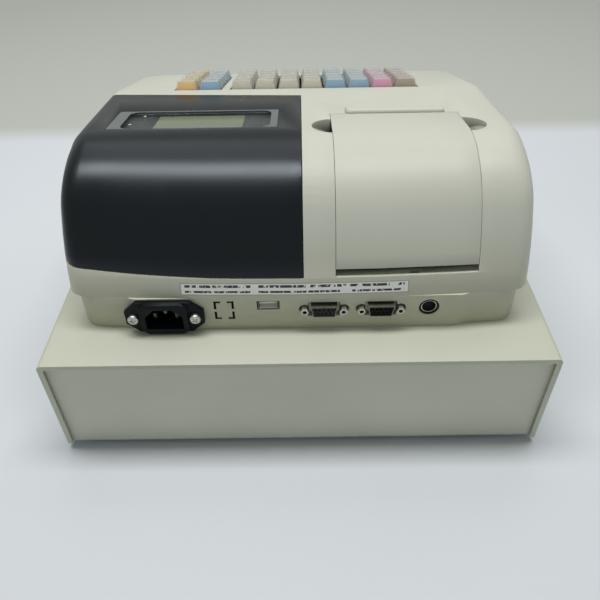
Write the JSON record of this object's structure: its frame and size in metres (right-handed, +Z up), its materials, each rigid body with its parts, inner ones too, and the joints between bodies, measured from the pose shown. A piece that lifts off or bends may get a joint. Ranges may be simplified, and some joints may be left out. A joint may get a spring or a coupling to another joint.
{
  "type": "electronic cash register",
  "caption": "Receipt-printing cash register with a humped plastic case, rear display, lifting printer cover and rear ports, on a steel cash drawer that slides out.",
  "frame": {"origin": "centre of the drawer's footprint, on the surface that the feet stand on", "axes": "+Y towards the connectors at the customer's side, +Z up, +X to the display's side"},
  "size_m": [0.33, 0.36, 0.1852],
  "materials": {
    "ivory_plastic": "fine-grained satin",
    "drawer_paint": "satin powder coat",
    "panel_paint": "satin powder coat",
    "charcoal_plastic": "semi-gloss",
    "window_plastic": "clear",
    "lcd_glass": "grey-green display",
    "zinc_steel": "zinc plated",
    "bright_steel": "plain",
    "black_rubber": "dull",
    "white_nylon": "plain",
    "till_plastic": "plain",
    "dark_plastic": "plain",
    "green_board": "solder resist",
    "receipt_paper": "paper",
    "lever_plastic": "plain",
    "key_brown": "clear cap over brown",
    "key_pink": "clear cap over pink",
    "key_blue": "clear cap over blue",
    "key_beige": "clear cap over beige",
    "key_orange": "clear cap over orange"
  },
  "bodies": {
    "register": {"drawer_cover": "drawer_paint", "drawer_base": "zinc_steel", "drawer_rear_panel": "panel_paint", "rubber_feet": "black_rubber", "guide_rails": "zinc_steel", "solenoid": "zinc_steel", "kick_spring": "bright_steel", "lower_case": "ivory_plastic", "upper_case": "ivory_plastic", "display_cover": "charcoal_plastic", "display_window": "window_plastic", "lcd_module": "lcd_glass", "paper_exit": "ivory_plastic", "tear_bar": "bright_steel", "screws": "zinc_steel", "printer_frame": "zinc_steel", "thermal_head": "zinc_steel", "stepper_motor": "bright_steel", "paper_bay": "dark_plastic", "main_board": "green_board", "transformer": "bright_steel", "inlet_housing": "dark_plastic", "inlet_pins": "bright_steel", "usb_port": "zinc_steel", "serial_ports": "zinc_steel", "serial_jackscrews": "zinc_steel", "drawer_socket": "dark_plastic", "key_frame": "dark_plastic", "key_board": "green_board"},
    "drawer": {"drawer_tray": "zinc_steel", "drawer_front": "drawer_paint", "till_insert": "till_plastic", "clip_rod": "bright_steel", "lock_body": "bright_steel"},
    "rail_rollers": {"rail_rollers": "white_nylon"},
    "tray_rollers": {"tray_rollers": "white_nylon"},
    "lock": {"lock_cam": "bright_steel"},
    "latch": {"latch_lever": "zinc_steel"},
    "plunger": {"solenoid_plunger": "bright_steel"},
    "printer_cover": {"printer_cover": "ivory_plastic"},
    "platen": {"platen_roller": "black_rubber", "platen_gear": "white_nylon"},
    "pinion": {"motor_pinion": "white_nylon"},
    "paper": {"paper_roll": "receipt_paper", "roll_spindle": "till_plastic"},
    "head_lever": {"head_lever": "lever_plastic"},
    "clip_1": {"bill_clip_1": "dark_plastic"},
    "clip_2": {"bill_clip_2": "dark_plastic"},
    "clip_3": {"bill_clip_3": "dark_plastic"},
    "clip_4": {"bill_clip_4": "dark_plastic"},
    "keys_1": {"key_column_1": "key_brown"},
    "keys_2": {"key_column_2": "key_pink"},
    "keys_3": {"key_column_3": "key_blue"},
    "keys_4": {"key_column_4": "key_blue"},
    "keys_5": {"key_column_5": "key_beige"},
    "keys_6": {"key_column_6": "key_beige"},
    "keys_7": {"key_column_7": "key_beige"},
    "keys_8": {"key_column_8": "key_beige"},
    "keys_9": {"key_column_9": "key_blue"},
    "keys_10": {"key_column_10": "key_orange"}
  },
  "joints": [
    {"name": "drawer_slide", "type": "slide", "parent": "register", "child": "drawer", "axis": [0, -1, 0], "range_m": [0, 0.24]},
    {"name": "rail_roller_turn", "type": "hinge", "parent": "register", "child": "rail_rollers", "pos_m": [0, -0.1444, 0.0335], "axis": [1, 0, 0], "continuous": true},
    {"name": "tray_roller_turn", "type": "hinge", "parent": "drawer", "child": "tray_rollers", "pos_m": [0, 0.115, 0.0335], "axis": [1, 0, 0], "continuous": true},
    {"name": "bill_clip_1_lift", "type": "hinge", "parent": "drawer", "child": "clip_1", "pos_m": [0, 0.1172, 0.0642], "axis": [-1, 0, 0], "range_deg": [0, 38], "stiffness_Nm_per_rad": 0.05, "springref_deg": -34.38},
    {"name": "bill_clip_2_lift", "type": "hinge", "parent": "drawer", "child": "clip_2", "pos_m": [0, 0.1172, 0.0642], "axis": [-1, 0, 0], "range_deg": [0, 38], "stiffness_Nm_per_rad": 0.05, "springref_deg": -34.38},
    {"name": "bill_clip_3_lift", "type": "hinge", "parent": "drawer", "child": "clip_3", "pos_m": [0, 0.1172, 0.0642], "axis": [-1, 0, 0], "range_deg": [0, 38], "stiffness_Nm_per_rad": 0.05, "springref_deg": -34.38},
    {"name": "bill_clip_4_lift", "type": "hinge", "parent": "drawer", "child": "clip_4", "pos_m": [0, 0.1172, 0.0642], "axis": [-1, 0, 0], "range_deg": [0, 38], "stiffness_Nm_per_rad": 0.05, "springref_deg": -34.38},
    {"name": "lock_turn", "type": "hinge", "parent": "drawer", "child": "lock", "pos_m": [0, -0.158, 0.042], "axis": [0, 1, 0], "range_deg": [0, 90]},
    {"name": "latch_swing", "type": "hinge", "parent": "register", "child": "latch", "pos_m": [0.022, 0.164, 0.028], "axis": [0, 0, -1], "range_deg": [0, 12]},
    {"name": "plunger_slide", "type": "slide", "parent": "register", "child": "plunger", "axis": [0, 1, 0], "range_m": [0, 0.006]},
    {"name": "printer_cover_hinge", "type": "hinge", "parent": "register", "child": "printer_cover", "pos_m": [-0.0683, 0.131, 0.1384], "axis": [-1, 0, 0], "range_deg": [0, 88]},
    {"name": "platen_turn", "type": "hinge", "parent": "register", "child": "platen", "pos_m": [-0.0698, 0.0249, 0.1504], "axis": [1, 0, 0], "continuous": true},
    {"name": "pinion_turn", "type": "hinge", "parent": "register", "child": "pinion", "pos_m": [-0.106, 0.03838, 0.13909], "axis": [1, 0, 0], "continuous": true},
    {"name": "paper_roll_turn", "type": "hinge", "parent": "register", "child": "paper", "pos_m": [-0.0698, 0.093, 0.144], "axis": [1, 0, 0], "continuous": true},
    {"name": "head_lever_turn", "type": "hinge", "parent": "register", "child": "head_lever", "pos_m": [-0.0344, 0.0429, 0.1544], "axis": [1, 0, 0], "range_deg": [0, 45]},
    {"name": "keys_1_press", "type": "slide", "parent": "register", "child": "keys_1", "axis": [0, 0.2756, -0.9613], "range_m": [0, 0.0035], "stiffness_N_per_m": 400, "springref_m": -0.002},
    {"name": "keys_2_press", "type": "slide", "parent": "register", "child": "keys_2", "axis": [0, 0.2756, -0.9613], "range_m": [0, 0.0035], "stiffness_N_per_m": 400, "springref_m": -0.002},
    {"name": "keys_3_press", "type": "slide", "parent": "register", "child": "keys_3", "axis": [0, 0.2756, -0.9613], "range_m": [0, 0.0035], "stiffness_N_per_m": 400, "springref_m": -0.002},
    {"name": "keys_4_press", "type": "slide", "parent": "register", "child": "keys_4", "axis": [0, 0.2756, -0.9613], "range_m": [0, 0.0035], "stiffness_N_per_m": 400, "springref_m": -0.002},
    {"name": "keys_5_press", "type": "slide", "parent": "register", "child": "keys_5", "axis": [0, 0.2756, -0.9613], "range_m": [0, 0.0035], "stiffness_N_per_m": 400, "springref_m": -0.002},
    {"name": "keys_6_press", "type": "slide", "parent": "register", "child": "keys_6", "axis": [0, 0.2756, -0.9613], "range_m": [0, 0.0035], "stiffness_N_per_m": 400, "springref_m": -0.002},
    {"name": "keys_7_press", "type": "slide", "parent": "register", "child": "keys_7", "axis": [0, 0.2756, -0.9613], "range_m": [0, 0.0035], "stiffness_N_per_m": 400, "springref_m": -0.002},
    {"name": "keys_8_press", "type": "slide", "parent": "register", "child": "keys_8", "axis": [0, 0.2756, -0.9613], "range_m": [0, 0.0035], "stiffness_N_per_m": 400, "springref_m": -0.002},
    {"name": "keys_9_press", "type": "slide", "parent": "register", "child": "keys_9", "axis": [0, 0.2756, -0.9613], "range_m": [0, 0.0035], "stiffness_N_per_m": 400, "springref_m": -0.002},
    {"name": "keys_10_press", "type": "slide", "parent": "register", "child": "keys_10", "axis": [0, 0.2756, -0.9613], "range_m": [0, 0.0035], "stiffness_N_per_m": 400, "springref_m": -0.002}
  ],
  "couplings": [
    {"joint": "rail_roller_turn", "follows": "drawer_slide", "rad_per_m": 166.67},
    {"joint": "tray_roller_turn", "follows": "drawer_slide", "rad_per_m": 166.67},
    {"joint": "plunger_slide", "follows": "latch_swing", "m_per_rad": 0.028},
    {"joint": "pinion_turn", "follows": "platen_turn", "ratio": -2.1429}
  ]
}
